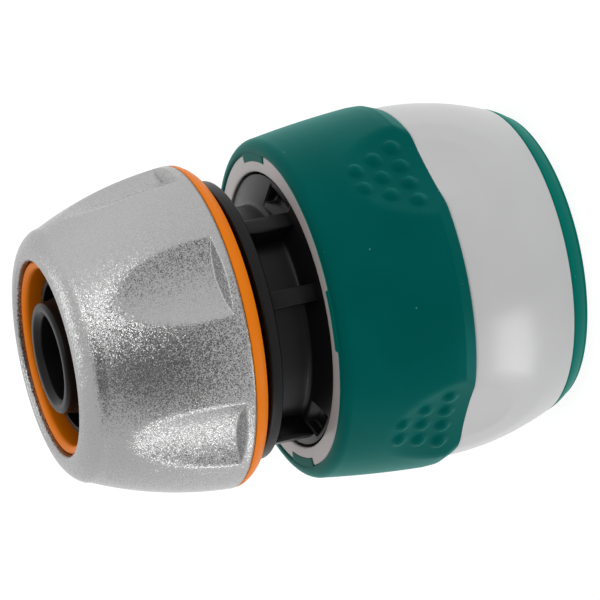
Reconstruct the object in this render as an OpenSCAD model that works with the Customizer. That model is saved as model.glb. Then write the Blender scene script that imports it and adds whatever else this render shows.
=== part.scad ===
/* [Clamp nut] */
// Height of the metal shell, rear edge to nose
nut_h = 15.8; // [15.4:0.1:17]
// Wall of the shell at the nut's rear edge
nut_wall = 3.5; // [3.2:0.1:4.2]
// Radius of the barrel curve, seen from the side
nut_curve_r = 38; // [34:1:44]
// How far the barrel curve's fullest place lies behind the rear edge
nut_curve_drop = 2.6; // [2:0.1:3]
// Radius of the rounded nose
nose_round = 2.8; // [2.4:0.1:3]
// Distance from the mouth to the circle along the top of the nose
nose_crest_w = 0.4; // [0.3:0.05:0.8]
// Angle above level at which the nose's rounding takes over from the barrel curve
nose_start_angle = 28; // [20:1:34]
// Depth of the bevel at the mouth
mouth_bevel = 0.5; // [0.3:0.05:0.7]
// Number of finger hollows round the nut
hollow_count = 6; // [4:1:8]
// Radius of the cutter that makes a hollow
hollow_r = 10; // [8:0.5:14]
// Depth of a hollow at its rear end
hollow_d = 1.2; // [0.8:0.1:1.6]
// Angle at which a hollow's floor runs in towards the nose
hollow_tilt = 7.5; // [6:0.5:8.5]
// Height of the ledge behind each hollow
hollow_ledge_h = 0.8; // [0.6:0.1:1.2]
// Rise of the wall at the back of a hollow for each millimetre of depth
hollow_slope = 0.45; // [0.2:0.05:0.8]
// Turn of the first hollow from the top of the view
hollow_turn = 10; // [0:1:30]

/* [Nut insert] */
// Thickness of the coloured band behind the shell
band_h = 1.5; // [1.2:0.1:1.6]
// How much narrower the band is at its rear edge than the shell
band_taper = 0.8; // [0.4:0.1:1.4]
// How far the band's curve stands out at its middle
band_bulge = 0.25; // [0:0.05:0.35]
// Wall of the liner between the thread and the shell
liner_wall = 0.9; // [0.8:0.05:1.1]
// Height above the rear edge at which the liner starts to narrow
liner_straight_h = 9.5; // [9:0.1:10]
// Height above the rear edge at which the liner ends in its neck
liner_taper_end_h = 13.3; // [13:0.1:13.5]
// Width of the liner's shoulder behind the mouth
liner_shoulder_w = 1.1; // [0.9:0.1:1.3]
// Room for the hose between the barbs and the opening in the lip
hose_wall = 2.5; // [2.3:0.05:2.7]
// Width of the lip round the hose opening
lip_w = 1; // [0.8:0.05:1.15]
// How far the clamping cone starts inside the thread
clamp_cone_w = 0.8; // [0.5:0.1:1]
// Gap between the skirt's top and the start of the clamping cone
clamp_cone_gap = 1; // [0.8:0.1:1.4]
// Height of the lip above the rear edge
lip_h = 15.2; // [15:0.1:15.4]
// Rounding of the lip's edges
lip_round = 0.35; // [0.2:0.05:0.4]

/* [Hose tail] */
// Radius of the water passage
passage_r = 4; // [3.5:0.1:4.2]
// Wall of the tail between its barbs
tail_wall = 1.6; // [1.3:0.1:1.8]
// How far the barbs stand out
barb_d = 0.7; // [0.4:0.1:1]
// Number of barbs
barb_count = 4; // [2:1:5]
// Height of one barb
barb_h = 2.6; // [2:0.1:2.8]
// Height of the steep side of a barb
barb_back_h = 0.3; // [0.2:0.05:0.5]
// Height of the plain land between the last barb and the rim
tail_land_h = 0.4; // [0.2:0.1:0.8]
// Depth of the tail's tip behind the nut's nose
tail_tip_drop = 0.3; // [0.1:0.1:1.3]
// Rounding of the tail's rim
tail_round = 0.7; // [0.4:0.1:0.8]
// Widening of the passage at the tail's tip
tip_bore_w = 0.2; // [0.1:0.05:0.3]
// Length of the widened part of the passage
tip_bore_h = 3; // [2:0.5:5]

/* [Hose collet] */
// Number of fingers
finger_count = 6; // [4:1:8]
// How much wider the base ring's inside is than the hose opening
collet_play = 0.4; // [0.2:0.1:0.6]
// Wall of the base ring and the fingers at their root
collet_wall = 1.4; // [1.2:0.1:1.5]
// Height of the base ring
collet_base_h = 3; // [2:0.5:4]
// Depth of the finger tips behind the nut's nose
finger_tip_drop = 2.1; // [1.8:0.1:3.8]
// Gap between the barbs and the finger tips
finger_tip_gap = 1; // [0.7:0.1:1.3]
// Wall at the finger tips
finger_tip_wall = 0.6; // [0.5:0.1:0.8]
// Width of the slots between fingers
finger_gap = 1.2; // [0.8:0.1:1.6]

/* [Body] */
// Wall of the threaded skirt
skirt_wall = 1.2; // [1.1:0.05:1.4]
// Height of the skirt's top above the nut's rear edge
skirt_h = 5; // [4:0.5:6]
// How much narrower the collar is than the nut's band
collar_step = 1.4; // [0.6:0.1:2]
// Thickness of the collar
collar_h = 1.3; // [1:0.1:1.6]
// Gap between the collar and the nut's band
collar_gap = 0.9; // [0.6:0.1:1.2]
// Thickness of the floor of the collet's seat
seat_h = 1; // [0.8:0.1:1.4]
// Distance of the ribs' outer faces inside the flange's rim
rib_inset = 0.7; // [0.5:0.1:1.4]
// How far the ribs stand out from the neck
rib_d = 2.2; // [1.8:0.1:3]
// Thickness of a rib
rib_w = 1.6; // [1:0.1:2]
// Number of pairs of ribs
rib_pairs = 3; // [2:1:4]
// Turn of the middle of the first pair of ribs
rib_pair_turn = 63.6; // [50:0.2:80]
// Angle between the two ribs of a pair
rib_pair_angle = 36; // [24:1:44]
// How far the flange stands before the sleeve's front ring
flange_step_h = 0.7; // [0.1:0.1:0.9]
// Slope of the flange's front face
flange_slope_h = 0.9; // [0.4:0.1:1]
// Thickness of the flange at its rim
flange_rim_h = 2; // [1.6:0.1:2.4]
// Radius of the fillet between neck and flange
neck_fillet = 0.7; // [0.3:0.1:0.9]
// Depth of the pockets in the flange
pocket_h = 1.2; // [1:0.1:1.8]
// Half the angle of a pocket
pocket_half_angle = 10; // [6:1:12]
// Turn of the first pocket
pocket_turn = 31; // [26:1:34]
// Outer radius of the socket barrel
barrel_r = 11.9; // [11.7:0.05:12]
// Wall of the barrel round the socket's mouth
barrel_wall = 1.7; // [1.5:0.1:1.9]
// Height of the step from mouth to bore
socket_step_z = 13; // [12:0.5:14]
// Radius of the socket's bore
socket_r = 8; // [7.8:0.1:8.4]
// Wall between the end of the bore and the back of the flange
socket_floor_h = 1; // [0.8:0.1:3]
// Chamfer at the entry of the bore
socket_chamfer = 0.8; // [0.4:0.1:1.2]
// Small bevel on the moulded edges
edge_bevel = 0.2; // [0.1:0.05:0.3]

/* [Sleeve] */
// Height of the front ring's face
ring_z = 27.2; // [26.8:0.1:27.4]
// Room for the spring between the barrel and the shell
spring_room = 2.2; // [2.1:0.05:2.4]
// Wall of the shell under the grip band
ring_wall = 1.9; // [1.7:0.1:2.3]
// Thickness of the grip band at its fullest place
grip_wall = 2.65; // [2.5:0.05:3]
// How much narrower the grip band is at its front
grip_taper = 1.2; // [0.85:0.05:1.45]
// Height of the grip band behind the front ring's face
grip_h = 13.5; // [12.7:0.1:14.2]
// How far the grip band's front stands before the ring
grip_lip_h = 0.1; // [0:0.05:0.9]
// Height of the grip band's fullest place above its rear edge
grip_full_h = 2.3; // [1.8:0.1:3.3]
// Height of the bevel at the grip band's rear edge
grip_bevel_h = 1.3; // [0.8:0.1:1.6]
// How far the grip band's side stands out between its edges
grip_bulge = 0.12; // [0:0.02:0.2]
// Rounding of the grip band's front edge
grip_round = 1.1; // [0.8:0.1:1.2]
// How far the grip band stands out from the shell behind it
grip_step = 0.6; // [0.45:0.05:0.85]
// Wall of the shell where it meets the end ring
shell_end_wall = 1.05; // [0.95:0.05:1.25]
// How far the shell's curve stands out at its middle
shell_bulge = 0.62; // [0.4:0.02:0.8]
// Height of the end ring
end_ring_h = 2; // [1.5:0.1:2.4]
// How much narrower the end ring's foot is than its top
foot_taper = 1.1; // [0.8:0.1:1.3]
// How far the end ring's curve stands out at its middle
end_ring_bulge = 0.12; // [0:0.02:0.2]
// Gap between the barrel and the end ring
end_gap = 1.1; // [0.7:0.1:1.3]
// Height of the ledge that carries the spring
spring_ledge_z = 14; // [13.5:0.1:14.5]
// Thickness of the ledge, down to the top of the sleeve's inner cone
ledge_h = 2.5; // [2.2:0.1:2.8]
// Widening of the inner cone for each millimetre of height
cone_slope = 0.3; // [0.26:0.01:0.31]
// Travel of the sleeve towards the nut
sleeve_travel = 4; // [3:0.1:5]
// Gap between the sleeve at the end of its travel and the collar
travel_gap = 1; // [0.5:0.1:2]

/* [Keys and finger pads] */
// Number of keys and of finger pads
pad_count = 4; // [3:1:4]
// Turn of the first key from the top of the view
key_turn = 4; // [0:1:20]
// Half the angle of a key
key_half_angle = 11; // [6:1:14]
// Depth of a key in the ring
key_d = 0.8; // [0.5:0.1:1.1]
// Length of a key
key_h = 3; // [2:0.5:4]
// Height of the middle of a finger pad above the grip band's rear edge
pad_rise = 0.3; // [-0.7:0.1:1.3]
// Depth of a finger pad at its middle
pad_d = 1.1; // [0.8:0.1:1.2]
// Radius of the pad's hollow
pad_sphere_r = 45; // [40:1:60]
// Rows of studs on a pad
stud_rows = 3; // [2:1:3]
// Studs in the row nearest the rear edge
stud_first_row = 4; // [3:1:4]
// Spacing of the studs
stud_pitch = 2.4; // [2.2:0.05:2.5]
// Radius of a stud
stud_r = 0.85; // [0.6:0.05:1]
// How far a stud stands out
stud_h = 0.5; // [0.3:0.05:0.6]
// Height of the first row of studs above the grip band's rear edge
stud_first_h = 2.5; // [2.1:0.1:2.9]

/* [Claws] */
// Width of a claw's stem
claw_w = 5; // [4:0.1:5.5]
// Width of a claw's head
claw_head_w = 7.6; // [7.2:0.1:8.4]
// Height of the bottom of a claw
claw_z = 6.5; // [6.4:0.1:6.8]
// Height of a claw
claw_h = 4; // [3.5:0.1:4.1]
// How far a claw's tip stands into the socket's mouth
claw_reach = 1.2; // [1:0.1:1.6]
// Lead-in on a claw's lower edge
claw_lead = 1.1; // [0.6:0.1:1.4]
// Height of the stop ring's upper face, where the socket barrel starts
stop_ring_top_z = 2; // [1.6:0.1:2.4]
// Height of the stop ring's lower face
stop_ring_z = 0.6; // [0.4:0.1:0.8]

/* [Return spring] */
// Diameter of the wire
wire_d = 1.2; // [1:0.1:1.3]
// Number of turns
spring_turns = 4.5; // [3:0.5:5]
// Share of the wire that lies in each closed end
spring_end_share = 0.12; // [0.08:0.01:0.2]
// Share of the height that each closed end takes
spring_end_rise = 0.1; // [0.05:0.01:0.15]

/* [Hidden] */

// Clearances: turning fit, sliding fit, loose fit
turn_gap = 0.05;
slide_gap = 0.1;
loose_gap = 0.2;
// Overlap that makes a cut run past a face
cut = 1;
$fn = 96;

// Heights, from the front ring up to the nose
grip_front_z = ring_z + grip_lip_h;
grip_rear_z = ring_z - grip_h;
flange_top_z = ring_z + flange_step_h;
flange_z = flange_top_z - flange_slope_h - flange_rim_h;
socket_end_z = flange_z - socket_floor_h;
collar_z = grip_front_z + sleeve_travel + travel_gap;
collar_top_z = collar_z + collar_h;
seat_z = collar_top_z + seat_h;
band_rear_z = collar_top_z + collar_gap;
nut_rear_z = band_rear_z + band_h;
skirt_top_z = nut_rear_z + skirt_h;
clamp_cone_z = skirt_top_z + clamp_cone_gap;
liner_straight_z = nut_rear_z + liner_straight_h;
liner_end_z = nut_rear_z + liner_taper_end_h;
lip_z = nut_rear_z + lip_h;
nut_nose_z = nut_rear_z + nut_h;
tail_tip_z = nut_nose_z - tail_tip_drop;
finger_tip_z = nut_nose_z - finger_tip_drop;

// Radii of the sleeve, from the barrel outwards
socket_mouth_r = barrel_r - barrel_wall;
claw_tip_r = socket_mouth_r - claw_reach;
ring_in_r = barrel_r + spring_room;
ring_out_r = ring_in_r + ring_wall;
grip_r = ring_out_r + grip_wall;
grip_front_r = grip_r - grip_taper;
shell_r = grip_r - grip_step;
flange_r = ring_in_r - loose_gap;
rib_r = flange_r - rib_inset;
neck_r = rib_r - rib_d;
cone_in_r = barrel_r + loose_gap;
cone_top_z = spring_ledge_z - ledge_h;
shell_end_r = cone_r(end_ring_h) + shell_end_wall;
foot_r = shell_end_r - foot_taper;
end_ring_in_r = barrel_r + end_gap;
tongue_r = (shell_end_r + cone_r(end_ring_h)) / 2;
tongue_z = end_ring_h / 2;

// Radii of the nut's end, from the water passage outwards
tail_r = passage_r + tail_wall;
barb_r = tail_r + barb_d;
finger_tip_r = barb_r + finger_tip_gap;
hose_hole_r = barb_r + hose_wall;
collet_in_r = hose_hole_r + collet_play;
skirt_in_r = collet_in_r + collet_wall + slide_gap;
skirt_r = skirt_in_r + skirt_wall;
thread_r = skirt_r + slide_gap;
clamp_cone_r = thread_r - clamp_cone_w;
mouth_r = hose_hole_r + lip_w;
nose_crest_r = mouth_r + nose_crest_w;
liner_tip_r = mouth_r + liner_shoulder_w;
liner_r = thread_r + liner_wall;
nut_r = liner_r + nut_wall;
band_rear_r = nut_r - band_taper;
collar_r = band_rear_r - collar_step;

// Finger pads and studs
pad_turn = key_turn + 180 / pad_count;
pad_z = grip_rear_z + pad_rise;
stud_first_z = grip_rear_z + stud_first_h;
// The middle of a finger pad lies where the shell and the grip band meet
sleeve_r_at_pad = (shell_r + grip_r) / 2;
// A stud is the cap of a sphere with its own foot radius and height
stud_sphere_r = (stud_r ^ 2 + stud_h ^ 2) / (2 * stud_h);

// Angles in the view run the other way round from the axes
function view_angle(a) = -a;

// Radius of the sleeve's inner cone at a height
function cone_r(z) = cone_in_r + cone_slope * (cone_top_z - z);

// Radius of the nut's barrel curve at a height
function nut_outline(z) =
    let (mid_z = nut_rear_z - nut_curve_drop)
    nut_r - sqrt(nut_curve_r ^ 2 - nut_curve_drop ^ 2) + sqrt(nut_curve_r ^ 2 - (z - mid_z) ^ 2);

// Points of an arc about [x, z] from angle a to angle b
function arc(x, z, r, a, b, steps = 8) =
    [for (i = [0:steps]) let (t = a + (b - a) * i / steps) [x + r * cos(t), z + r * sin(t)]];

// Points of a bowed line from p to q that stands out by bulge at its middle
function bowed(p, q, bulge, steps = 8) =
    [for (i = [0:steps]) let (t = i / steps) [p[0] + (q[0] - p[0]) * t + 4 * bulge * t * (1 - t),
                                             p[1] + (q[1] - p[1]) * t]];

// Distance from the axis to the pad's hollow floor at a height and an angle from the pad's middle
function pad_floor_r(z, angle) =
    let (centre = sleeve_r_at_pad - pad_d + pad_sphere_r, dz = z - pad_z)
    centre * cos(angle) - sqrt(pad_sphere_r ^ 2 - dz ^ 2 - (centre * sin(angle)) ^ 2);

module ring(z, h, r_out, r_in) {
    translate([0, 0, z]) difference() {
        cylinder(h = h, r = r_out);
        translate([0, 0, -cut]) cylinder(h = h + 2 * cut, r = r_in);
    }
}

// Part of a ring, half_angle to each side of angle zero
module ring_sector(z, h, r_out, r_in, half_angle) {
    reach = r_out / cos(half_angle);
    intersection() {
        ring(z, h, r_out, r_in);
        translate([0, 0, z - cut]) linear_extrude(height = h + 2 * cut)
            polygon([[0, 0], [reach, -reach * tan(half_angle)], [reach, reach * tan(half_angle)]]);
    }
}

// Places its children round the axis, starting at a turn measured in the view
module round_axis(count, turn) {
    for (i = [0:count - 1]) rotate([0, 0, view_angle(turn + 360 * i / count)]) children();
}

module nut_blank() {
    nose_z = nut_nose_z - nose_round;
    join_z = nose_z + nose_round * sin(nose_start_angle / 2);
    outline = [for (i = [0:10]) nut_rear_z + (join_z - nut_rear_z) * i / 10];
    rotate_extrude() polygon(concat(
        [[mouth_r, liner_end_z + turn_gap], [liner_tip_r + turn_gap, liner_end_z + turn_gap]],
        [[liner_r + turn_gap, liner_straight_z + turn_gap], [liner_r + turn_gap, nut_rear_z]],
        [for (z = outline) [nut_outline(z), z]],
        arc(nose_crest_r, nose_z, nose_round, nose_start_angle, 90),
        [[mouth_r, nut_nose_z - mouth_bevel]]
    ));
}

// One finger hollow: a scoop that follows the nut's curve, with a flat slanted wall at its back
module nut_hollow() translate([nut_r, 0, nut_rear_z + hollow_ledge_h]) intersection() {
    rotate([0, -hollow_tilt, 0]) translate([hollow_r - hollow_d, 0, -cut])
        cylinder(h = nut_h + 2 * cut, r = hollow_r);
    rotate([0, atan(hollow_slope), 0]) translate([-2 * hollow_r, -hollow_r - cut, 0])
        cube([4 * hollow_r, 2 * (hollow_r + cut), 2 * nut_h]);
}

module nut_shell() color("silver") difference() {
    nut_blank();
    round_axis(hollow_count, hollow_turn) nut_hollow();
}

module nut_insert() color("darkorange") rotate_extrude() polygon(concat(
    [[thread_r, band_rear_z]],
    bowed([band_rear_r, band_rear_z], [nut_outline(nut_rear_z), nut_rear_z - turn_gap], band_bulge, 5),
    [[liner_r, nut_rear_z - turn_gap], [liner_r, liner_straight_z], [liner_tip_r, liner_end_z]],
    [[mouth_r - turn_gap, liner_end_z], [mouth_r - turn_gap, lip_z - lip_round]],
    [[mouth_r - lip_round, lip_z], [hose_hole_r, lip_z - lip_round]],
    [[clamp_cone_r, clamp_cone_z], [thread_r, clamp_cone_z - (thread_r - clamp_cone_r) / 2]]
));

// The tail's barbs, as seen in section from its root to its tip
function barb_points(low_z) = [for (i = [0:barb_count - 1]) let (z = low_z + i * barb_h) each
    [[tail_r, z], [barb_r, z + barb_back_h], [tail_r, z + barb_h]]];

module tail() {
    barbs_z = tail_tip_z - tail_round - tail_land_h - barb_count * barb_h;
    rotate_extrude() polygon(concat(
        [[0, seat_z - cut], [tail_r, seat_z - cut]],
        barb_points(barbs_z),
        arc(tail_r - tail_round, tail_tip_z - tail_round, tail_round, 0, 135, 6),
        [[passage_r, tail_tip_z - 2 * tail_round], [0, tail_tip_z - 2 * tail_round]]
    ));
}

module neck() {
    rib_z = flange_top_z - flange_slope_h;
    difference() {
        rotate_extrude() polygon(concat(
            [[0, flange_z], [flange_r, flange_z], [flange_r, flange_z + flange_rim_h]],
            arc(neck_r + neck_fillet, flange_top_z + neck_fillet, neck_fillet, 270, 180, 4),
            [[neck_r, collar_z], [collar_r - edge_bevel, collar_z], [collar_r, collar_z + edge_bevel]],
            [[collar_r, collar_top_z - edge_bevel], [collar_r - edge_bevel, collar_top_z]],
            [[skirt_r, collar_top_z], [skirt_r, skirt_top_z - 2 * edge_bevel]],
            [[skirt_r - 2 * edge_bevel, skirt_top_z]],
            [[skirt_in_r, skirt_top_z], [skirt_in_r, seat_z], [0, seat_z]]
        ));
        round_axis(rib_pairs, pocket_turn)
            ring_sector(flange_top_z - pocket_h, pocket_h + cut, rib_r + edge_bevel, neck_r + neck_fillet,
                        pocket_half_angle);
    }
    for (side = [-1, 1]) round_axis(rib_pairs, rib_pair_turn + side * rib_pair_angle / 2)
        translate([neck_r - cut, -rib_w / 2, rib_z]) cube([rib_r - neck_r + cut, rib_w, collar_z - rib_z]);
}

module claw_slot() {
    slot_w = claw_w + 2 * slide_gap;
    slot_top_z = claw_z + claw_h + slide_gap;
    translate([socket_r, -slot_w / 2, stop_ring_top_z - cut])
        cube([barrel_r, slot_w, slot_top_z - stop_ring_top_z + cut]);
}

module barrel() difference() {
    // The chamfer is no wider than the step from the mouth to the bore
    chamfer = min(socket_chamfer, socket_mouth_r - socket_r);
    rotate_extrude() polygon([
        [socket_mouth_r, stop_ring_top_z], [barrel_r, stop_ring_top_z], [barrel_r, flange_z], [0, flange_z],
        [0, socket_end_z], [socket_r, socket_end_z], [socket_r, socket_step_z + chamfer],
        [socket_r + chamfer, socket_step_z], [socket_mouth_r, socket_step_z]
    ]);
    round_axis(pad_count, key_turn) claw_slot();
}

module core_body() color([0.1, 0.1, 0.11]) difference() {
    union() {
        barrel();
        neck();
        tail();
    }
    translate([0, 0, socket_end_z - cut]) cylinder(h = tail_tip_z - socket_end_z + 2 * cut, r = passage_r);
    translate([0, 0, tail_tip_z - tip_bore_h]) cylinder(h = tip_bore_h + cut, r = passage_r + tip_bore_w);
}

module hose_collet() color([0.14, 0.14, 0.15]) difference() {
    root_z = seat_z + collet_base_h;
    tip_out_r = finger_tip_r + finger_tip_wall;
    rotate_extrude() polygon([
        [collet_in_r, seat_z], [collet_in_r + collet_wall, seat_z], [collet_in_r + collet_wall, skirt_top_z],
        [tip_out_r, finger_tip_z - edge_bevel], [tip_out_r - edge_bevel, finger_tip_z],
        [finger_tip_r, finger_tip_z], [collet_in_r, root_z]
    ]);
    round_axis(finger_count, 0)
        translate([0, -finger_gap / 2, root_z]) cube([collet_in_r + collet_wall + cut, finger_gap, nut_h]);
}

module finger_pad() {
    translate([sleeve_r_at_pad - pad_d + pad_sphere_r, 0, pad_z]) sphere(r = pad_sphere_r, $fn = 180);
}

// Key that locks the grip band to the front ring, with the amounts by which it runs past the ring
module key_block(over_h, over_r) {
    ring_sector(ring_z - key_h, key_h + over_h, ring_out_r + over_r, ring_out_r - key_d, key_half_angle);
}

module sleeve_shell() color([0.78, 0.78, 0.78]) difference() {
    rotate_extrude() polygon(concat(
        [[ring_in_r, ring_z], [ring_out_r, ring_z], [ring_out_r, grip_rear_z]],
        bowed([shell_r, grip_rear_z], [shell_end_r, end_ring_h], shell_bulge),
        [[tongue_r, end_ring_h], [tongue_r, tongue_z], [cone_r(end_ring_h), tongue_z]],
        [[cone_r(end_ring_h), end_ring_h], [cone_in_r, cone_top_z]],
        [[cone_in_r, spring_ledge_z], [ring_in_r, spring_ledge_z]]
    ));
    round_axis(pad_count, key_turn) key_block(cut, cut);
    round_axis(pad_count, pad_turn) finger_pad();
}

// Studs of one pad, in rows that get shorter by one stud towards the front
module studs() {
    for (row = [0:stud_rows - 1]) {
        count = stud_first_row - row;
        z = stud_first_z + row * stud_pitch;
        for (i = [0:count - 1]) {
            angle = (i - (count - 1) / 2) * stud_pitch / sleeve_r_at_pad * 180 / PI;
            rotate([0, 0, angle]) translate([pad_floor_r(z, angle) - stud_sphere_r + stud_h, 0, z])
                sphere(r = stud_sphere_r, $fn = 48);
        }
    }
}

module grip_band() color([0, 0.37, 0.32]) {
    front_x = grip_front_r - grip_round;
    front_z = grip_front_z - grip_round;
    difference() {
        rotate_extrude() polygon(concat(
            [[ring_out_r, grip_rear_z], [shell_r + edge_bevel / 2, grip_rear_z]],
            [[grip_r, grip_rear_z + grip_bevel_h]],
            bowed([grip_r, grip_rear_z + grip_full_h], [grip_front_r, front_z], grip_bulge, 6),
            arc(front_x, front_z, grip_round, 10, 90, 6),
            [[ring_out_r + edge_bevel, grip_front_z], [ring_out_r, grip_front_z - edge_bevel]]
        ));
        round_axis(pad_count, pad_turn) finger_pad();
    }
    round_axis(pad_count, key_turn) key_block(0, key_d);
    round_axis(pad_count, pad_turn) studs();
}

module end_ring() color([0, 0.42, 0.36]) rotate_extrude() polygon(concat(
    [[end_ring_in_r, edge_bevel], [end_ring_in_r + edge_bevel, 0], [foot_r - edge_bevel, 0]],
    bowed([foot_r, edge_bevel], [shell_end_r, end_ring_h], end_ring_bulge, 5),
    [[tongue_r, end_ring_h], [tongue_r, tongue_z], [end_ring_in_r, tongue_z]]
));

// Ring that closes the claws' slots, with a prong up each slot
module stop_ring() color([0.16, 0.16, 0.17]) {
    ring(stop_ring_z, stop_ring_top_z - stop_ring_z, barrel_r, socket_mouth_r);
    round_axis(pad_count, key_turn) intersection() {
        ring(stop_ring_z, claw_z - slide_gap - stop_ring_z, barrel_r, socket_mouth_r);
        translate([0, -claw_w / 2, 0]) cube([barrel_r + cut, claw_w, claw_z]);
    }
}

// One locking claw: a stem through the barrel and a head outside it, bounded by the sleeve's cone
module claw(index) {
    head_r = barrel_r + turn_gap;
    foot_out_r = cone_r(claw_z) - slide_gap;
    color("gainsboro") rotate([0, 0, view_angle(key_turn + 360 * index / pad_count)])
        translate([0, 0, claw_z]) intersection() {
            rotate_extrude() polygon([
                [claw_tip_r + claw_lead, 0], [foot_out_r, 0], [cone_r(claw_z + claw_h) - slide_gap, claw_h],
                [claw_tip_r, claw_h], [claw_tip_r, claw_lead]
            ]);
            union() {
                translate([0, -claw_w / 2, 0]) cube([head_r + turn_gap, claw_w, claw_h]);
                difference() {
                    translate([0, -claw_head_w / 2, 0]) cube([foot_out_r, claw_head_w, claw_h]);
                    translate([0, 0, -cut]) cylinder(h = claw_h + 2 * cut, r = head_r);
                }
            }
        }
}
module claw_1() claw(0);
module claw_2() claw(1);
module claw_3() claw(2);
module claw_4() claw(3);

// Height share of the spring's wire at a share t of its length, flatter at both closed ends
function spring_rise(t) =
    t < spring_end_share ? spring_end_rise * t / spring_end_share :
    t > 1 - spring_end_share ? 1 - spring_end_rise * (1 - t) / spring_end_share :
    spring_end_rise + (1 - 2 * spring_end_rise) * (t - spring_end_share) / (1 - 2 * spring_end_share);

// The spring is a round wire swept along a helix whose end turns close up flat
module return_spring() {
    low_z = spring_ledge_z + wire_d / 2;
    high_z = flange_z - wire_d / 2;
    mean_r = (barrel_r + ring_in_r) / 2;
    per_turn = 28;
    sides = 8;
    steps = ceil(spring_turns * per_turn);
    rings = [for (i = [0:steps]) let (
        a = 360 * spring_turns * i / steps,
        z = low_z + (high_z - low_z) * spring_rise(i / steps))
        [for (k = [0:sides - 1]) let (b = 360 * k / sides, r = mean_r + wire_d / 2 * cos(b))
            [r * cos(a), r * sin(a), z + wire_d / 2 * sin(b)]]];
    points = [for (ring_points = rings) each ring_points];
    walls = [for (i = [0:steps - 1], k = [0:sides - 1]) let (n = (k + 1) % sides)
        [i * sides + k, i * sides + n, (i + 1) * sides + n, (i + 1) * sides + k]];
    ends = [[for (k = [sides - 1:-1:0]) k], [for (k = [0:sides - 1]) steps * sides + k]];
    color("lightsteelblue") polyhedron(points = points, faces = concat(walls, ends), convexity = 10);
}

core_body();
hose_collet();
nut_insert();
nut_shell();
sleeve_shell();
grip_band();
end_ring();
return_spring();
stop_ring();
claw_1();
claw_2();
claw_3();
claw_4();
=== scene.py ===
import math
import bpy
import numpy as np
from mathutils import Matrix, Vector


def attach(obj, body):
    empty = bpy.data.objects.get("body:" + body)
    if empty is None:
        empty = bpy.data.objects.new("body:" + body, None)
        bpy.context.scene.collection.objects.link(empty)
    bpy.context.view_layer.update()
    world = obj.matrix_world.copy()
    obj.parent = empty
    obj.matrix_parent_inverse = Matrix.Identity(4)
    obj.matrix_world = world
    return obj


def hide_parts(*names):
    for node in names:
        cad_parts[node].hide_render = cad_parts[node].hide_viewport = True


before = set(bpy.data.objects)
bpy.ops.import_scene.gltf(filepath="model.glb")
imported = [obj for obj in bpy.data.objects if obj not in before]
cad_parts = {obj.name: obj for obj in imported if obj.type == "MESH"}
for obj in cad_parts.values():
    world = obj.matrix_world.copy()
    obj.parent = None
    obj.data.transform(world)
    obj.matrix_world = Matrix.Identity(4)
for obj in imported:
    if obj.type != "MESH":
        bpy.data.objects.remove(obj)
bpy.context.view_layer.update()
print("frame loaded")
mm = 0.001
scene = bpy.context.scene

# The camera looks along -z of its own frame; the three axes are set straight from the photo's fit
camera = {
    "place": (0.02151, -0.30481, 0.12936),
    "right": (-0.18551, -0.33043, -0.92542),
    "up": (0.98049, 0.0, -0.19655),
    "back": (0.06495, -0.94383, 0.32398),
    "lens": 192.24,
    "sensor": 36.0,
}


def makeCamera(c):
    data = bpy.data.cameras.new("camera")
    data.lens = c["lens"]
    data.sensor_width = c["sensor"]
    data.clip_start = 0.01
    obj = bpy.data.objects.new("camera", data)
    scene.collection.objects.link(obj)
    turn = Matrix((c["right"], c["up"], c["back"])).transposed().to_4x4()
    obj.matrix_world = Matrix.Translation(Vector(c["place"])) @ turn
    scene.camera = obj


makeCamera(camera)


# Outlines and grids. A turn is measured in degrees from +X towards -Y, as it shows in the main view.
def roundedOutline(corners, steps=5):
    """Closed outline from corners (r, z, rounding): each corner becomes an arc that touches both its sides."""
    c = np.array(corners, float)
    p = c[:, :2]
    before = np.roll(p, 1, axis=0) - p
    after = np.roll(p, -1, axis=0) - p
    lenBefore = np.linalg.norm(before, axis=1)
    lenAfter = np.linalg.norm(after, axis=1)
    before /= lenBefore[:, None]
    after /= lenAfter[:, None]
    half = 0.5 * np.arccos(np.clip((before * after).sum(1), -0.999999, 0.999999))
    cutBack = np.minimum(c[:, 2] / np.tan(half), 0.49 * np.minimum(lenBefore, lenAfter))
    bisector = before + after
    bisector /= np.maximum(np.linalg.norm(bisector, axis=1), 1e-9)[:, None]
    centre = p + bisector * (cutBack / np.cos(half))[:, None]
    swing = np.maximum(np.pi - 2 * half, 1e-4)[:, None]
    t = np.linspace(0, 1, steps + 1)[None, :]
    w0 = (np.sin((1 - t) * swing) / np.sin(swing))[:, :, None]
    w1 = (np.sin(t * swing) / np.sin(swing))[:, :, None]
    start = (p + before * cutBack[:, None] - centre)[:, None]
    end = (p + after * cutBack[:, None] - centre)[:, None]
    return dropDoubles((centre[:, None] + start * w0 + end * w1).reshape(-1, 2))


def dropDoubles(outline, near=0.004):
    """Leaves out each point that lies closer than near to the one before it."""
    gap = np.linalg.norm(outline - np.roll(outline, 1, axis=0), axis=1)
    return outline[gap > near]


def evenSteps(outline, step):
    """Splits each side of a closed outline into equal lengths of at most step."""
    after = np.roll(outline, -1, axis=0)
    count = np.maximum(1, np.ceil(np.linalg.norm(after - outline, axis=1) / step).astype(int))
    side = np.repeat(np.arange(len(outline)), count)
    place = np.arange(count.sum()) - np.repeat(np.cumsum(count) - count, count)
    t = (place / np.repeat(count, count))[:, None]
    return outline[side] * (1 - t) + after[side] * t


def bowed(p, q, bulge, steps):
    """Points from p to q on a parabola that stands out in r by bulge at its middle."""
    t = np.linspace(0, 1, steps + 1)
    return np.stack([p[0] + (q[0] - p[0]) * t + 4 * bulge * t * (1 - t), p[1] + (q[1] - p[1]) * t], 1)


def arcPoints(r, z, radius, first, last, steps):
    """Points of an arc about (r, z) from angle first to angle last, in degrees."""
    a = np.radians(np.linspace(first, last, steps + 1))
    return np.stack([r + radius * np.cos(a), z + radius * np.sin(a)], 1)


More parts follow.
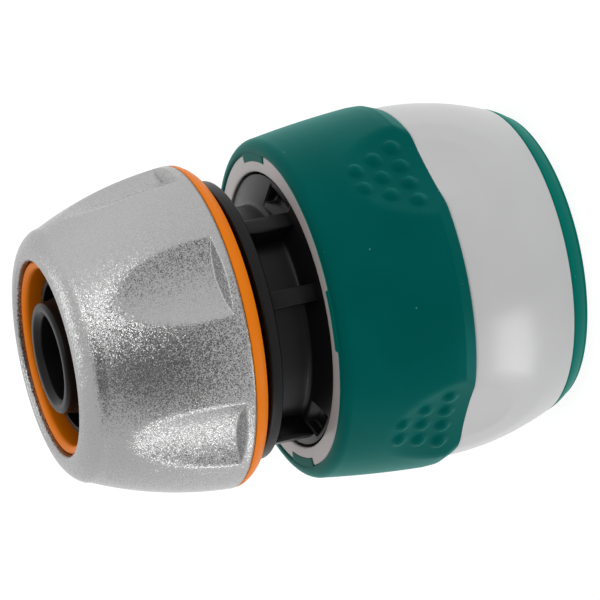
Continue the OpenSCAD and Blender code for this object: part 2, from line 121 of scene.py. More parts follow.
def softMin(a, b, width):
    """The lower of two surfaces, with the crease between them rounded over width."""
    h = np.clip(0.5 + 0.5 * (b - a) / width, 0, 1)
    return b * (1 - h) + a * h - width * h * (1 - h)


def softStep(x, low, high):
    """Rises smoothly from 0 at low to 1 at high."""
    t = np.clip((x - low) / (high - low), 0, 1)
    return t * t * (3 - 2 * t)


def nearestTurn(turn, first, count):
    """Angle from a turn to the nearest of count places that start at first, in degrees."""
    pitch = 360 / count
    return (turn - first + pitch / 2) % pitch - pitch / 2


def lathe(outline, turns, shape=None):
    """Closed outline swept round the axis; shape(r, z, turn) may move each point's r and z."""
    r, z, turn = outline[:, 0][:, None], outline[:, 1][:, None], turns[None, :]
    r, z = np.broadcast_arrays(r, z) if shape is None else shape(r, z, turn)
    n, m = len(outline), len(turns)
    r, z = np.broadcast_to(r, (n, m)), np.broadcast_to(z, (n, m))
    a = np.radians(turn)
    verts = np.stack([r * np.cos(a), -r * np.sin(a), z], 2).reshape(-1, 3)
    i, j = np.meshgrid(np.arange(n), np.arange(m), indexing="ij")
    i1, j1 = (i + 1) % n, (j + 1) % m
    faces = np.stack([i * m + j, i * m + j1, i1 * m + j1, i1 * m + j], 2).reshape(-1, 4)
    return facingOut(verts, faces)


def sector(outline, turn, halfAngle, steps=8, bevel=0.1):
    """Part of a lathe between two turns: the outline shrinks towards its middle at both ends, which bevels them."""
    n = len(outline)
    middle = outline.mean(0)
    reach = np.abs(outline - middle).max()
    angle = np.degrees(bevel / middle[0])
    inner = np.linspace(-halfAngle + angle, halfAngle - angle, steps)
    turns = turn + np.concatenate([[-halfAngle], inner, [halfAngle]])
    size = np.ones(len(turns))
    size[[0, -1]] = 1 - bevel / reach
    r = middle[0] + (outline[:, 0][:, None] - middle[0]) * size
    z = middle[1] + (outline[:, 1][:, None] - middle[1]) * size
    a = np.radians(turns)[None, :]
    m = len(turns)
    verts = np.stack([r * np.cos(a), -r * np.sin(a), np.broadcast_to(z, r.shape)], 2).reshape(-1, 3)
    ends = np.array([[middle[0] * np.cos(t), -middle[0] * np.sin(t), middle[1]] for t in (a[0, 0], a[0, -1])])
    verts = np.concatenate([verts, ends])
    i, j = np.meshgrid(np.arange(n), np.arange(m - 1), indexing="ij")
    i1 = (i + 1) % n
    faces = np.stack([i * m + j, i * m + j + 1, i1 * m + j + 1, i1 * m + j], 2).reshape(-1, 4)
    k = np.arange(n)
    k1 = (k + 1) % n
    first = np.stack([k1 * m, np.full(n, n * m), k * m, k * m], 1)
    last = np.stack([k * m + m - 1, np.full(n, n * m + 1), k1 * m + m - 1, k1 * m + m - 1], 1)
    return facingOut(verts, np.concatenate([faces, first, last]))


def facingOut(verts, faces):
    """Turns the faces round if the closed shell's signed volume is below zero."""
    a, b, c, d = (verts[faces[:, k]] for k in range(4))
    volume = (np.cross(b, c) * a).sum() + (np.cross(c, d) * a).sum()
    return (verts, faces) if volume > 0 else (verts, faces[:, [1, 0, 3, 2]])


def makePiece(name, shells, material, body, nodes=()):
    """One object from closed shells given in millimetres; a quad that repeats its last corner is a triangle."""
    offset, allVerts, allFaces = 0, [], []
    for verts, faces in shells:
        allVerts.append(verts)
        allFaces.append(faces + offset)
        offset += len(verts)
    verts = np.concatenate(allVerts) * mm
    faces = np.concatenate(allFaces)
    doubled = faces == np.roll(faces, -1, axis=1)
    keep = ~doubled
    corners = keep.sum(1)
    mesh = bpy.data.meshes.new(name)
    mesh.vertices.add(len(verts))
    mesh.vertices.foreach_set("co", verts.astype(np.float32).ravel())
    mesh.loops.add(int(corners.sum()))
    mesh.loops.foreach_set("vertex_index", faces[keep].astype(np.int32))
    mesh.polygons.add(len(faces))
    mesh.polygons.foreach_set("loop_start", (np.cumsum(corners) - corners).astype(np.int32))
    mesh.polygons.foreach_set("use_smooth", np.ones(len(faces), bool))
    mesh.update(calc_edges=True)
    mesh.validate()
    mesh.materials.append(material)
    obj = bpy.data.objects.new(name, mesh)
    scene.collection.objects.link(obj)
    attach(obj, body)
    if nodes:
        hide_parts(*nodes)
    print(name, len(verts), "points")
    return obj


# Materials
def newMaterial(name, **values):
    material = bpy.data.materials.new(name)
    material.use_nodes = True
    shader = material.node_tree.nodes["Principled BSDF"]
    for key, value in values.items():
        shader.inputs[key].default_value = value
    return material, material.node_tree, shader


def addNode(tree, kind, values=(), **settings):
    node = tree.nodes.new(kind)
    for key, value in settings.items():
        setattr(node, key, value)
    for key, value in dict(values).items():
        node.inputs[key].default_value = value
    return node


def objectNoise(tree, scale, detail=2.0, roughness=0.5):
    place = addNode(tree, "ShaderNodeTexCoord")
    noise = addNode(tree, "ShaderNodeTexNoise", {"Scale": scale, "Detail": detail, "Roughness": roughness})
    tree.links.new(place.outputs["Object"], noise.inputs["Vector"])
    return noise


def ramp(tree, source, low, high, lowColor, highColor):
    node = addNode(tree, "ShaderNodeValToRGB")
    node.color_ramp.elements[0].position = low
    node.color_ramp.elements[1].position = high
    node.color_ramp.elements[0].color = lowColor
    node.color_ramp.elements[1].color = highColor
    tree.links.new(source, node.inputs["Fac"])
    return node


def addBump(tree, shader, source, strength, distance, under=None):
    bump = addNode(tree, "ShaderNodeBump", {"Strength": strength, "Distance": distance})
    tree.links.new(source, bump.inputs["Height"])
    if under is not None:
        tree.links.new(under, bump.inputs["Normal"])
    tree.links.new(bump.outputs["Normal"], shader.inputs["Normal"])
    return bump


def tiltedFacets(tree, scale, tilt):
    """Normal that leans its own random way in each tiny cell: normal + tilt (random - 0.5), made unit long."""
    place = addNode(tree, "ShaderNodeTexCoord")
    cells = addNode(tree, "ShaderNodeTexVoronoi", {"Scale": scale, "Randomness": 1.0})
    tree.links.new(place.outputs["Object"], cells.inputs["Vector"])
    centred = addNode(tree, "ShaderNodeVectorMath", {1: (0.5, 0.5, 0.5)}, operation="SUBTRACT")
    tree.links.new(cells.outputs["Color"], centred.inputs[0])
    leaning = addNode(tree, "ShaderNodeVectorMath", {"Scale": tilt}, operation="SCALE")
    tree.links.new(centred.outputs["Vector"], leaning.inputs[0])
    surface = addNode(tree, "ShaderNodeNewGeometry")
    total = addNode(tree, "ShaderNodeVectorMath", operation="ADD")
    tree.links.new(surface.outputs["Normal"], total.inputs[0])
    tree.links.new(leaning.outputs["Vector"], total.inputs[1])
    unit = addNode(tree, "ShaderNodeVectorMath", operation="NORMALIZE")
    tree.links.new(total.outputs["Vector"], unit.inputs[0])
    return unit.outputs["Vector"]


metalLook = {
    "dark": (0.34, 0.34, 0.34, 1), "light": (0.41, 0.41, 0.407, 1),
    "grainScale": 12000, "facetTilt": 0.36, "waveScale": 900, "waveDepth": 0.00001,
    "roughLow": 0.23, "roughHigh": 0.29,
}


def makeBlastedMetal(look):
    material, tree, shader = newMaterial("blastedMetal", Metallic=1.0)
    grain = objectNoise(tree, look["grainScale"], 2.0, 0.6)
    color = ramp(tree, grain.outputs["Fac"], 0.36, 0.62, look["dark"], look["light"])
    tree.links.new(color.outputs["Color"], shader.inputs["Base Color"])
    wave = objectNoise(tree, look["waveScale"], 1.0)
    rough = addNode(tree, "ShaderNodeMapRange", {"To Min": look["roughLow"], "To Max": look["roughHigh"]})
    tree.links.new(wave.outputs["Fac"], rough.inputs["Value"])
    tree.links.new(rough.outputs["Result"], shader.inputs["Roughness"])
    facet = tiltedFacets(tree, look["grainScale"], look["facetTilt"])
    addBump(tree, shader, wave.outputs["Fac"], 1.0, look["waveDepth"], facet)
    return material


def makePlastic(name, base, spread, roughness, grainScale=2500, grainDepth=0.000004, **values):
    """Moulded plastic: a slow change of tone within spread, and a fine grain."""
    material, tree, shader = newMaterial(name, Roughness=roughness, **values)
    slow = objectNoise(tree, 160, 2.0)
    low = tuple(c * (1 - spread) for c in base) + (1,)
    high = tuple(min(1, c * (1 + spread)) for c in base) + (1,)
    color = ramp(tree, slow.outputs["Fac"], 0.3, 0.7, low, high)
    tree.links.new(color.outputs["Color"], shader.inputs["Base Color"])
    grain = objectNoise(tree, grainScale, 2.0)
    addBump(tree, shader, grain.outputs["Fac"], 1.0, grainDepth)
    return material


softLook = {"speckScale": 420, "speckSize": 0.026, "speckColor": (0.08, 0.30, 0.25, 1)}


def makeSoftGreen(name, base, look):
    """Soft-touch rubber: as a plastic, with a pale sheen and here and there a light speck of dust."""
    material = makePlastic(name, base, 0.06, 0.42, 3200, 0.000003, **{"Specular IOR Level": 0.05})
    tree = material.node_tree
    shader = tree.nodes["Principled BSDF"]
    shader.inputs["Sheen Weight"].default_value = 0.25
    shader.inputs["Sheen Roughness"].default_value = 0.45
    shader.inputs["Sheen Tint"].default_value = (0.0, 0.95, 0.78, 1)
    shader.inputs["Specular Tint"].default_value = (0.1, 1.0, 0.9, 1)
    place = addNode(tree, "ShaderNodeTexCoord")
    cells = addNode(tree, "ShaderNodeTexVoronoi", {"Scale": look["speckScale"], "Randomness": 1.0})
    tree.links.new(place.outputs["Object"], cells.inputs["Vector"])
    speck = addNode(tree, "ShaderNodeMapRange",
                    {"From Min": look["speckSize"], "From Max": look["speckSize"] * 1.6, "To Min": 1.0, "To Max": 0.0})
    tree.links.new(cells.outputs["Distance"], speck.inputs["Value"])
    mix = addNode(tree, "ShaderNodeMix", data_type="RGBA")
    mix.inputs["B"].default_value = look["speckColor"]
    tree.links.new(speck.outputs["Result"], mix.inputs["Factor"])
    tree.links.new(shader.inputs["Base Color"].links[0].from_socket, mix.inputs["A"])
    tree.links.new(mix.outputs["Result"], shader.inputs["Base Color"])
    return material


blastedMetal = makeBlastedMetal(metalLook)
orangePlastic = makePlastic("orangePlastic", (0.93, 0.225, 0.003), 0.05, 0.42, **{"Specular IOR Level": 0.12})
blackPlastic = makePlastic("blackPlastic", (0.005, 0.005, 0.0055), 0.12, 0.36, **{"Specular IOR Level": 0.18})
colletPlastic = makePlastic("colletPlastic", (0.007, 0.007, 0.0075), 0.12, 0.42, **{"Specular IOR Level": 0.14})
greyPlastic = makePlastic("greyPlastic", (0.60, 0.60, 0.605), 0.02, 0.30, 1500, 0.000001)
softGreen = makeSoftGreen("softGreen", (0.0, 0.094, 0.084), softLook)
ringGreen = makeSoftGreen("ringGreen", (0.0, 0.16, 0.125), softLook)
clawPlastic = makePlastic("clawPlastic", (0.68, 0.67, 0.62), 0.03, 0.35)
stopPlastic = makePlastic("stopPlastic", (0.028, 0.028, 0.030), 0.12, 0.40)
springSteel = makeBlastedMetal(dict(metalLook, grainScale=4000, facetTilt=0.03, roughLow=0.2, roughHigh=0.32))
print("materials made")

# Metal nut: lengths in millimetres from the coupling end
nut = {
    "rear": 36.0, "top": 51.8, "rearR": 16.4, "curveR": 38.0, "curveDrop": 2.6, "noseRound": 2.8, "crestR": 10.2,
    "mouthR": 9.8, "noseStart": 28, "liningR": 12.95, "liningEnd": 45.55, "tipR": 10.95, "tipZ": 49.35,
    "hollows": 6, "hollowTurn": 10, "hollowR": 10.0, "hollowD": 1.4, "hollowTilt": 6.6, "wallZ": 36.8,
    "wallRise": 0.45, "sideSoft": 0.3, "wallSoft": 0.08, "turns": 648,
}


def nutRadius(z):
    """Radius of the nut's barrel curve, an arc of curveR whose fullest place is curveDrop behind the rear edge."""
    n = nut
    middle = n["rear"] - n["curveDrop"]
    return n["rearR"] - math.sqrt(n["curveR"] ** 2 - n["curveDrop"] ** 2) + np.sqrt(n["curveR"] ** 2 - (z - middle) ** 2)


def nutOutline():
    n = nut
    noseZ = n["top"] - n["noseRound"]
    joinZ = noseZ + n["noseRound"] * math.sin(math.radians(n["noseStart"] / 2))
    rearZ = np.linspace(n["rear"] + 0.12, n["wallZ"] - 0.15, 6)
    wallZ = np.arange(n["wallZ"] - 0.1, n["wallZ"] + 1.6, 0.06)
    restZ = np.linspace(n["wallZ"] + 1.7, joinZ, 50)
    outerZ = np.concatenate([rearZ, wallZ, restZ])
    outer = np.stack([nutRadius(outerZ), outerZ], 1)
    nose = arcPoints(n["crestR"], noseZ, n["noseRound"], n["noseStart"], 90, 16)
    lip = arcPoints(n["crestR"], n["top"] - 0.4, 0.4, 100, 180, 5)
    inside = roundedOutline([
        (n["mouthR"], n["top"] - 0.5, 0), (n["mouthR"], n["tipZ"], 0), (n["tipR"], n["tipZ"], 0),
        (n["liningR"], n["liningEnd"], 0.3), (n["liningR"], n["rear"], 0.1), (n["rearR"] - 0.01, n["rear"], 0.14),
        (n["rearR"] - 0.01, n["rear"] + 0.3, 0),
    ])[:-1]
    return dropDoubles(np.concatenate([outer, nose, lip, evenInside(inside)]))


def evenInside(points, step=0.8):
    """Adds points between the first and the last of an open line, no further apart than step."""
    closed = evenSteps(points, step)
    last = np.where(np.all(np.isclose(closed, points[-1]), axis=1))[0][0]
    return closed[:last + 1]


def hollowedNut(r, z, turn):
    """Cuts each hollow: a round cutter along the axis, stopped by a slanted plane at its back."""
    n = nut
    a = np.radians(nearestTurn(turn, n["hollowTurn"], n["hollows"]))
    floorR = n["rearR"] - n["hollowD"] - math.tan(math.radians(n["hollowTilt"])) * (z - n["wallZ"])
    centre = floorR + n["hollowR"]
    under = np.maximum(n["hollowR"] ** 2 - (centre * np.sin(a)) ** 2, 0)
    scoop = np.where(np.abs(centre * np.sin(a)) < n["hollowR"], centre * np.cos(a) - np.sqrt(under), 99)
    wall = (n["rearR"] - (z - n["wallZ"]) / n["wallRise"]) / np.cos(a)
    cut = -softMin(-scoop, -wall, 0.08)
    soft = n["wallSoft"] + (n["sideSoft"] - n["wallSoft"]) * softStep(z, n["wallZ"] + 0.6, n["wallZ"] + 3.0)
    outside = r > n["liningR"] + 0.4
    return np.where(outside & (z > n["rear"] + 0.1), softMin(r, np.maximum(cut, 0), soft), r), z


evenTurns = np.arange(nut["turns"]) * 360 / nut["turns"]
makePiece("nutShell", [lathe(nutOutline(), evenTurns, hollowedNut)], blastedMetal, "nut",
          ["nut_shell"])

# Orange insert: band behind the shell, liner, and the lip in the mouth; its inside has the thread
insert = {"threadR": 12.0, "threadDepth": 0.45, "threadLow": 34.9, "threadHigh": 41.3, "pitch": 3.0}


def threadWave(z, turn, pitch):
    """1 on the crest and 0 in the root of a right-hand thread with rounded flanks."""
    wave = 0.5 - 0.5 * np.cos(2 * np.pi * (z / pitch + turn / 360))
    return softStep(wave, 0.15, 0.75)


def threadedInsert(r, z, turn):
    """Cuts the thread's groove into the straight bore below the clamping cone."""
    i = insert
    fade = softStep(z, i["threadLow"], i["threadLow"] + 0.6) * (1 - softStep(z, i["threadHigh"] - 0.6, i["threadHigh"]))
    bore = np.abs(r - i["threadR"]) < 0.02
    return np.where(bore, r + i["threadDepth"] * fade * threadWave(z, turn, i["pitch"]), r + 0 * turn), z


insertCorners = [
    (12.0, 34.5, 0.15), (15.6, 34.5, 0.2), (16.0, 34.95, 0.6), (16.32, 35.5, 0.6), (16.38, 35.95, 0.12),
    (12.9, 35.95, 0), (12.9, 45.5, 0.3), (10.9, 49.3, 0), (9.75, 49.3, 0), (9.75, 50.9, 0.1), (9.5, 51.2, 0.15),
    (8.8, 50.85, 0.7), (11.2, 42.0, 0.2), (12.0, 41.6, 0.1),
]
insertOutline = evenSteps(roundedOutline(insertCorners), 0.3)
ringTurns = np.arange(360.0)
makePiece("nutInsert", [lathe(insertOutline, ringTurns, threadedInsert)], orangePlastic, "nut_liner",
          ["nut_insert"])

# Black body: neck, collar, skirt with its thread, barbed tail, and the socket barrel below the flange
core = {
    "passageR": 4.0, "flangeZ": 25.0, "flangeR": 13.9, "neckR": 11.0, "ribR": 13.2, "ribW": 1.6,
    "ribTurns": (45.6, 81.6), "ribLow": 26.9, "collarZ": 32.3, "pocketTurn": 31, "pocketHalf": 10,
    "pocketDepth": 1.2, "pocketIn": 11.75, "pocketOut": 13.42, "skirtR": 11.9, "threadDepth": 0.5,
    "tailR": 5.6, "barbR": 6.3, "barbH": 2.6, "barbsZ": 40.0, "barbs": 4,
}


def coreCorners():
    c = core
    barbs = []
    for k in range(c["barbs"]):
        low = c["barbsZ"] + k * c["barbH"]
        barbs += [(c["tailR"], low, 0.1), (c["barbR"], low + 0.3, 0.12)]
    slope = 0.9 / 2.2
    onSlope = [(r, 27.0 + slope * (c["flangeR"] - r), 0) for r in (13.46, 13.38, 11.83, 11.75)]
    return [
        (c["passageR"], c["flangeZ"], 0), (c["flangeR"], c["flangeZ"], 0.15), (c["flangeR"], 27.0, 0.15),
        *onSlope, (c["neckR"], 28.19, 0.65), (c["neckR"], c["collarZ"], 0.15),
        (14.2, c["collarZ"], 0.25), (14.2, 33.6, 0.25), (c["skirtR"], 33.6, 0.1), (c["skirtR"], 41.0, 0.4),
        (10.7, 41.0, 0.25), (10.7, 34.6, 0.1), (c["tailR"], 34.6, 0.3), *barbs,
        (c["tailR"], c["barbsZ"] + c["barbs"] * c["barbH"], 0), (c["tailR"], 51.5, 0.5), (4.75, 51.5, 0.3),
        (4.2, 50.9, 0.3), (4.2, 48.55, 0.05), (c["passageR"], 48.5, 0.05), (c["passageR"], 46.0, 0),
    ]


def shapedCore(r, z, turn):
    """Sinks the pockets into the flange's face and raises the thread on the skirt."""
    c = core
    off = np.abs(nearestTurn(turn, c["pocketTurn"], 3))
    inPocket = (1 - softStep(off, c["pocketHalf"], c["pocketHalf"] + 0.4)) \
        * softStep(r, c["pocketIn"], c["pocketIn"] + 0.1) * (1 - softStep(r, c["pocketOut"] - 0.06, c["pocketOut"] + 0.04))
    face = (z > 26.5) & (z < 28.4) & (r > 11.4)
    lowered = np.where(face, z - c["pocketDepth"] * inPocket, z)
    fade = softStep(z, 34.2, 34.9) * (1 - softStep(z, 39.9, 40.6))
    skirt = np.abs(r - c["skirtR"]) < 0.02
    groove = c["threadDepth"] * fade * (1 - threadWave(z, turn, insert["pitch"]))
    return np.where(skirt, r - groove, r), lowered


def ribShell(turn):
    """A rib from the flange to the collar: rounded outline in r and z, narrow in angle."""
    c = core
    outline = roundedOutline([(c["neckR"] - 0.3, c["ribLow"], 0), (c["ribR"], c["ribLow"], 0.1),
                              (c["ribR"], c["collarZ"] + 0.1, 0.1), (c["neckR"] - 0.3, c["collarZ"] + 0.1, 0)], 3)
    return sector(outline, turn, math.degrees(c["ribW"] / 2 / 12.3), 4, 0.12)


barrel = {
    "low": 2.0, "outR": 11.9, "mouthR": 10.2, "stepZ": 13.0, "boreR": 8.0, "boreEnd": 24.0, "slotW": 5.2,
    "slotTop": 10.6, "keyTurn": 4,
}


def barrelShells():
    """The socket: whole above the claws' slots, and four wall parts between the slots below them."""
    b, c = barrel, core
    whole = roundedOutline([
        (b["mouthR"], b["slotTop"], 0.05), (b["outR"], b["slotTop"], 0.05), (b["outR"], c["flangeZ"], 0),
        (c["passageR"], c["flangeZ"], 0), (c["passageR"], b["boreEnd"], 0.1), (b["boreR"], b["boreEnd"], 0.2),
        (b["boreR"], b["stepZ"] + 0.8, 0.2), (b["boreR"] + 0.8, b["stepZ"], 0.2), (b["mouthR"], b["stepZ"], 0.2),
    ], 4)
    wall = evenSteps(roundedOutline([
        (b["mouthR"], b["low"], 0.1), (b["outR"], b["low"], 0.1), (b["outR"], b["slotTop"] + 0.05, 0),
        (b["mouthR"], b["slotTop"] + 0.05, 0),
    ], 3), 1.0)
    half = 45 - math.degrees(math.asin(b["slotW"] / 2 / 11.05))
    shells = [lathe(evenSteps(whole, 0.8), np.arange(0, 360, 2.5))]
    for k in range(4):
        shells.append(sector(wall, b["keyTurn"] + 45 + 90 * k, half, 20, 0.08))
    return shells


coreOutline = evenSteps(roundedOutline(coreCorners()), 0.47)
pocketEdges = [core["pocketTurn"] + 120 * k + s * e for k in range(3) for s in (-1, 1) for e in (10, 10.13, 10.27, 10.4)]
coreTurns = np.unique(np.round(np.concatenate([np.arange(0, 360, 1.5), np.array(pocketEdges) % 360]), 3))
ribs = [ribShell(first + 120 * k) for first in core["ribTurns"] for k in range(3)]
makePiece("coreBody", [lathe(coreOutline, coreTurns, shapedCore)] + ribs + barrelShells(), blackPlastic, "body",
          ["core_body"])

# Collet: base ring and six fingers that lean in towards the tail
collet = {"fingers": 6, "gapW": 1.2, "low": 34.6, "root": 37.6, "inR": 9.2, "outR": 10.6, "tipZ": 49.7,
          "tipIn": 7.3, "tipOut": 7.9, "bendZ": 41.0}


def colletShells():
    c = collet
    base = roundedOutline([(c["inR"], c["low"], 0.1), (c["outR"], c["low"], 0.1), (c["outR"], c["root"], 0),
                           (c["inR"], c["root"], 0)], 3)
    finger = evenSteps(roundedOutline([
        (c["inR"], c["root"] - 0.05, 0), (c["outR"], c["root"] - 0.05, 0), (c["outR"], c["bendZ"], 0.6),
        (c["tipOut"], c["tipZ"], 0.2), (c["tipIn"], c["tipZ"], 0.12),
    ], 4), 0.8)
    half = 30 - math.degrees(c["gapW"] / 2 / 8.2)
    shells = [lathe(evenSteps(base, 0.8), np.arange(0, 360, 3.0))]
    for k in range(c["fingers"]):
        shells.append(sector(finger, 30 + 60 * k, half, 24, 0.1))
    return shells


makePiece("hoseCollet", colletShells(), colletPlastic, "body", ["hose_collet"])

# Sleeve: pads are spheres sunk into the outside, halfway between the keys
pad = {"count": 4, "turn": 49, "z": 14.0, "sphereR": 45.0, "depth": 1.1, "rimR": 18.35, "soft": 0.22,
       "tailD": 0.4, "tailL": 8.7, "tailW": 6.5}


def padRadius(z, turn):
    """Distance from the axis to the nearest pad's hollow floor, a sphere whose centre lies outside the sleeve."""
    p = pad
    a = np.radians(nearestTurn(turn, p["turn"], p["count"]))
    centre = p["rimR"] - p["depth"] + p["sphereR"]
    under = np.maximum(p["sphereR"] ** 2 - (z - p["z"]) ** 2 - (centre * np.sin(a)) ** 2, 0)
    return centre * np.cos(a) - np.sqrt(under)


shell = {"keyTurn": 4, "keyHalf": 11, "keyR": 15.2, "keyLow": 24.2, "ringZ": 27.2, "ringOut": 16.0}


def scoopedShell(r, z, turn):
    """Sinks the pads into the shell's outside and leaves the keys' notches out of the front ring."""
    s = shell
    off = np.abs(nearestTurn(turn, s["keyTurn"], 4))
    notch = (1 - softStep(off, s["keyHalf"], s["keyHalf"] + 0.2)) * softStep(z, s["keyLow"] - 0.1, s["keyLow"])
    outside = r > 15.9
    scooped = np.where(outside, softMin(r, padRadius(z, turn), pad["soft"] * 0.7), r + 0 * turn)
    across = np.radians(nearestTurn(turn, pad["turn"], pad["count"])) * pad["rimR"]
    hollow = pad["tailD"] * (1 - ((z - pad["z"]) / pad["tailL"]) ** 2 - (across / pad["tailW"]) ** 2)
    scooped = np.where(outside, softMin(scooped, r - hollow, 0.03), scooped)
    return np.where((r > s["keyR"]) & (z > s["keyLow"] - 0.1), np.minimum(scooped, r + (s["keyR"] - r) * notch), scooped), z


keyEdges = [shell["keyTurn"] + 90 * k + s * e for k in range(4) for s in (-1, 1) for e in (11, 11.1, 11.2)]
shellTurns = np.unique(np.round(np.concatenate([np.arange(0, 360, 0.8), np.array(keyEdges) % 360]), 3))
shellOutline = evenSteps(dropDoubles(np.concatenate([
    roundedOutline([(12.1, 13.0, 0), (12.1, 14.0, 0.15), (14.1, 14.0, 0.1), (14.1, 27.2, 0.22), (16.0, 27.2, 0.1),
                    (16.0, 13.72, 0), (17.9, 13.72, 0), (12.1, 13.2, 0)], 4)[1:-1],
    bowed((18.05, 13.6), (16.0, 2.05), 0.62, 24),
    np.array([(15.95, 2.0), (15.475, 2.0), (15.475, 1.0), (14.95, 1.0), (14.95, 2.0), (12.1, 11.5)]),
])), 0.35)
makePiece("sleeveShell", [lathe(shellOutline, shellTurns, scoopedShell)], greyPlastic, "sleeve",
          ["sleeve_shell"])

# Grip band: lip bevel at the rear, rounded front, studs in the pads, keys in the front ring
grip = {
    "inR": 16.0, "rear": 13.7, "lipR": 18.16, "bevelZ": 15.0, "fullR": 18.64, "fullZ": 16.0, "frontR": 17.45,
    "front": 27.9, "round": 1.1, "bulge": 0.12,
    "studRows": ((16.2, 4), (18.6, 3), (21.0, 2)), "studPitch": 2.4, "studR": 0.85, "studH": 0.5,
}


def studHeight(z, turn):
    """Height of the studs above the pad: each is the cap of a sphere, with a soft foot."""
    g, p = grip, pad
    a = np.radians(nearestTurn(turn, p["turn"], p["count"])) * p["rimR"]
    sphere = (g["studR"] ** 2 + g["studH"] ** 2) / (2 * g["studH"])
    height = 0
    for rowZ, count in g["studRows"]:
        column = np.clip(np.round(a / g["studPitch"] - (count - 1) / 2), -(count - 1), 0) + (count - 1) / 2
        away = (a - column * g["studPitch"]) ** 2 + (z - rowZ) ** 2
        cap = np.sqrt(np.maximum(sphere ** 2 - away, 0)) - (sphere - g["studH"])
        height = height - softMin(-cap, 0 * cap, 0.1)
    return height


def scoopedGrip(r, z, turn):
    """Sinks the pads into the band and raises the studs on their floors."""
    padR = padRadius(z, turn)
    floor = softMin(r, padR + 0 * r, pad["soft"])
    inPad = softStep(r - padR, 0.0, 0.25)
    return np.where(r > grip["inR"] + 0.5, floor + studHeight(z, turn) * inPad, r + 0 * turn), z


gripOutline = evenSteps(dropDoubles(np.concatenate([
    np.array([(16.0, 27.1), (16.0, 20.0), (16.0, 13.7)]),
    roundedOutline([(16.2, 13.7, 0), (18.16, 13.7, 0.1), (18.63, 14.95, 0.08), (18.65, 16.0, 0)], 4)[1:-1],
    bowed((18.65, 16.0), (17.45, 26.2), 0.12, 40),
    arcPoints(16.35, 26.2, 1.1, 8, 90, 9),
    np.array([(16.15, 27.3)]),
])), 0.28)
gripTurns = np.arange(0, 360, 0.6)
keyOutline = roundedOutline([(15.2, 24.2, 0), (16.4, 24.2, 0), (16.4, 27.26, 0.05), (15.2, 27.26, 0.12)], 3)
keys = [sector(keyOutline, shell["keyTurn"] + 90 * k, shell["keyHalf"], 12, 0.08) for k in range(4)]
makePiece("gripBand", [lathe(gripOutline, gripTurns, scoopedGrip)] + keys, softGreen, "sleeve",
          ["grip_band"])

endOutline = evenSteps(dropDoubles(np.concatenate([
    roundedOutline([(14.0, 1.0, 0), (13.0, 1.0, 0.1), (13.0, 0.0, 0.2), (14.95, 0.0, 0.22), (15.2, 0.6, 0)], 4)[1:-1],
    bowed((15.03, 0.3), (15.98, 1.95), 0.12, 8),
    np.array([(15.9, 2.0), (15.475, 2.0), (15.475, 1.0)]),
])), 0.25)
makePiece("endRing", [lathe(endOutline, ringTurns)], ringGreen, "sleeve", ["end_ring"])

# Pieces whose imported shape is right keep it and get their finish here
finishes = {"return_spring": springSteel, "stop_ring": stopPlastic, "claw_1": clawPlastic, "claw_2": clawPlastic,
            "claw_3": clawPlastic, "claw_4": clawPlastic}
for name, finish in finishes.items():
    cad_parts[name].data.materials.clear()
    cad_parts[name].data.materials.append(finish)
print("packed pieces finished")


# Stage: pale floor, pale world, soft lamps
def makeFloor(size=3.0, white=0.75, matt=0.35):
    mesh = bpy.data.meshes.new("floor")
    h = size / 2
    mesh.from_pydata([(-h, -h, 0), (h, -h, 0), (h, h, 0), (-h, h, 0)], [], [(0, 1, 2, 3)])
    obj = bpy.data.objects.new("floor", mesh)
    scene.collection.objects.link(obj)
    material, tree, shader = newMaterial("floorWhite", Roughness=0.9)
    shader.inputs["Base Color"].default_value = (0.86, 0.86, 0.86, 1)
    glow = addNode(tree, "ShaderNodeEmission", {"Strength": 1.2})
    path = addNode(tree, "ShaderNodeLightPath")
    seen = addNode(tree, "ShaderNodeMath", operation="MAXIMUM")
    tree.links.new(path.outputs["Is Camera Ray"], seen.inputs[0])
    tree.links.new(path.outputs["Is Glossy Ray"], seen.inputs[1])
    share = addNode(tree, "ShaderNodeMath", {1: white - matt, 2: matt}, operation="MULTIPLY_ADD")
    tree.links.new(seen.outputs[0], share.inputs[0])
    mix = addNode(tree, "ShaderNodeMixShader")
    tree.links.new(share.outputs[0], mix.inputs["Fac"])
    tree.links.new(shader.outputs[0], mix.inputs[1])
    tree.links.new(glow.outputs[0], mix.inputs[2])
    tree.links.new(mix.outputs[0], tree.nodes["Material Output"].inputs["Surface"])
    mesh.materials.append(material)


def sideLevel(tree, side, low, high, lowLevel, highLevel):
    """Light level that changes from lowLevel to highLevel as the direction turns towards side."""
    place = addNode(tree, "ShaderNodeTexCoord")
    facing = addNode(tree, "ShaderNodeVectorMath", {1: Vector(side).normalized()}, operation="DOT_PRODUCT")
    tree.links.new(place.outputs["Generated"], facing.inputs[0])
    values = {"From Min": low, "From Max": high, "To Min": lowLevel, "To Max": highLevel}
    level = addNode(tree, "ShaderNodeMapRange", values, interpolation_type="SMOOTHSTEP")
    tree.links.new(facing.outputs["Value"], level.inputs["Value"])
    return level.outputs["Result"]


room = {
    "front": ((-0.20, -0.92, 0.0), 0.50, 0.92, 0.95, 0.15),
    "mattFront": ((-0.20, -0.92, 0.0), 0.0, 1.0, 0.98, 0.66),
    "mattAbove": ((0.10, 0.20, 1.0), -0.30, 1.0, 1.0, 0.50),
}


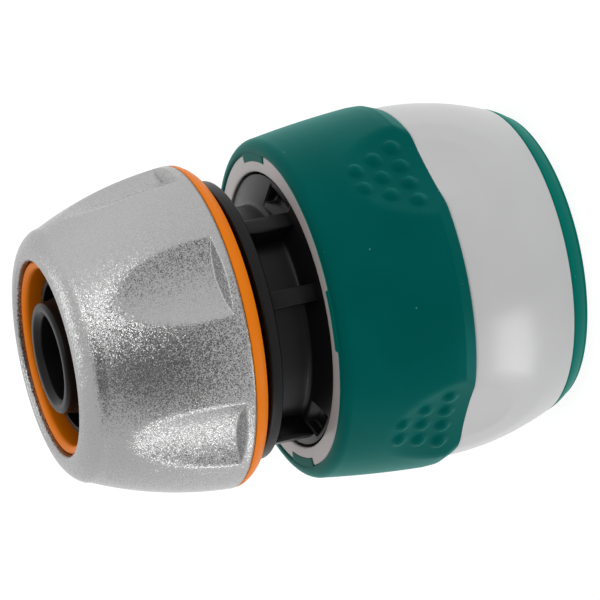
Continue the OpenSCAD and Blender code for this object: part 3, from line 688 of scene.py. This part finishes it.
def makeWorld(r):
    """Pale room: a dark front shows in reflections, and matt surfaces get less light from above."""
    world = bpy.data.worlds.new("paleRoom")
    scene.world = world
    world.use_nodes = True
    tree = world.node_tree
    background = tree.nodes["Background"]
    path = addNode(tree, "ShaderNodeLightPath")
    matt = addNode(tree, "ShaderNodeMix")
    tree.links.new(path.outputs["Is Diffuse Ray"], matt.inputs["Factor"])
    tree.links.new(sideLevel(tree, *r["front"]), matt.inputs["A"])
    onMatt = addNode(tree, "ShaderNodeMath", operation="MULTIPLY")
    tree.links.new(sideLevel(tree, *r["mattFront"]), onMatt.inputs[0])
    tree.links.new(sideLevel(tree, *r["mattAbove"]), onMatt.inputs[1])
    tree.links.new(onMatt.outputs[0], matt.inputs["B"])
    seen = addNode(tree, "ShaderNodeMix", {"B": 1.0})
    tree.links.new(path.outputs["Is Camera Ray"], seen.inputs["Factor"])
    tree.links.new(matt.outputs["Result"], seen.inputs["A"])
    tree.links.new(seen.outputs["Result"], background.inputs["Strength"])
    background.inputs["Color"].default_value = (1, 1, 1, 1)
    world.cycles.sampling_method = "NONE"


lamps = {
    "keySoftbox": {"towards": (0.50, -0.66, 0.56), "away": 0.55, "size": (0.46, 0.30), "watts": 0.20},
    "topSoftbox": {"towards": (0.93, 0.15, 0.33), "away": 0.6, "size": (0.7, 0.7), "watts": 0.4},
    "endSoftbox": {"towards": (0.20, 0.40, 0.89), "away": 0.6, "size": (0.25, 0.25), "watts": 0.35},
    "streakLamp": {"towards": (0.42, -0.72, 0.55), "away": 0.5, "size": (0.38, 0.03), "watts": 0.30, "matt": False},
    "lowGlow": {"towards": (-0.148, -0.024, -0.005), "away": 0.15, "size": (0.06, 0.03), "watts": 0.019},
    "floorGlow": {"towards": (-0.016, -0.020, -0.025), "away": 0.0358, "size": (0.018, 0.012), "watts": 0.0025, "matt": False},
}


def makeLamp(name, lamp, target=(0, 0, 0.026)):
    data = bpy.data.lights.new(name, "AREA")
    data.shape = "RECTANGLE"
    data.size, data.size_y = lamp["size"]
    data.energy = lamp["watts"]
    obj = bpy.data.objects.new(name, data)
    scene.collection.objects.link(obj)
    direction = Vector(lamp["towards"]).normalized()
    obj.location = Vector(target) + direction * lamp["away"]
    obj.rotation_euler = direction.to_track_quat("Z", "Y").to_euler()
    obj.visible_camera = False
    obj.visible_diffuse = lamp.get("matt", True)


makeFloor()
makeWorld(room)
for name, lamp in lamps.items():
    makeLamp(name, lamp)
scene.view_settings.view_transform = "Standard"
print("stage made")
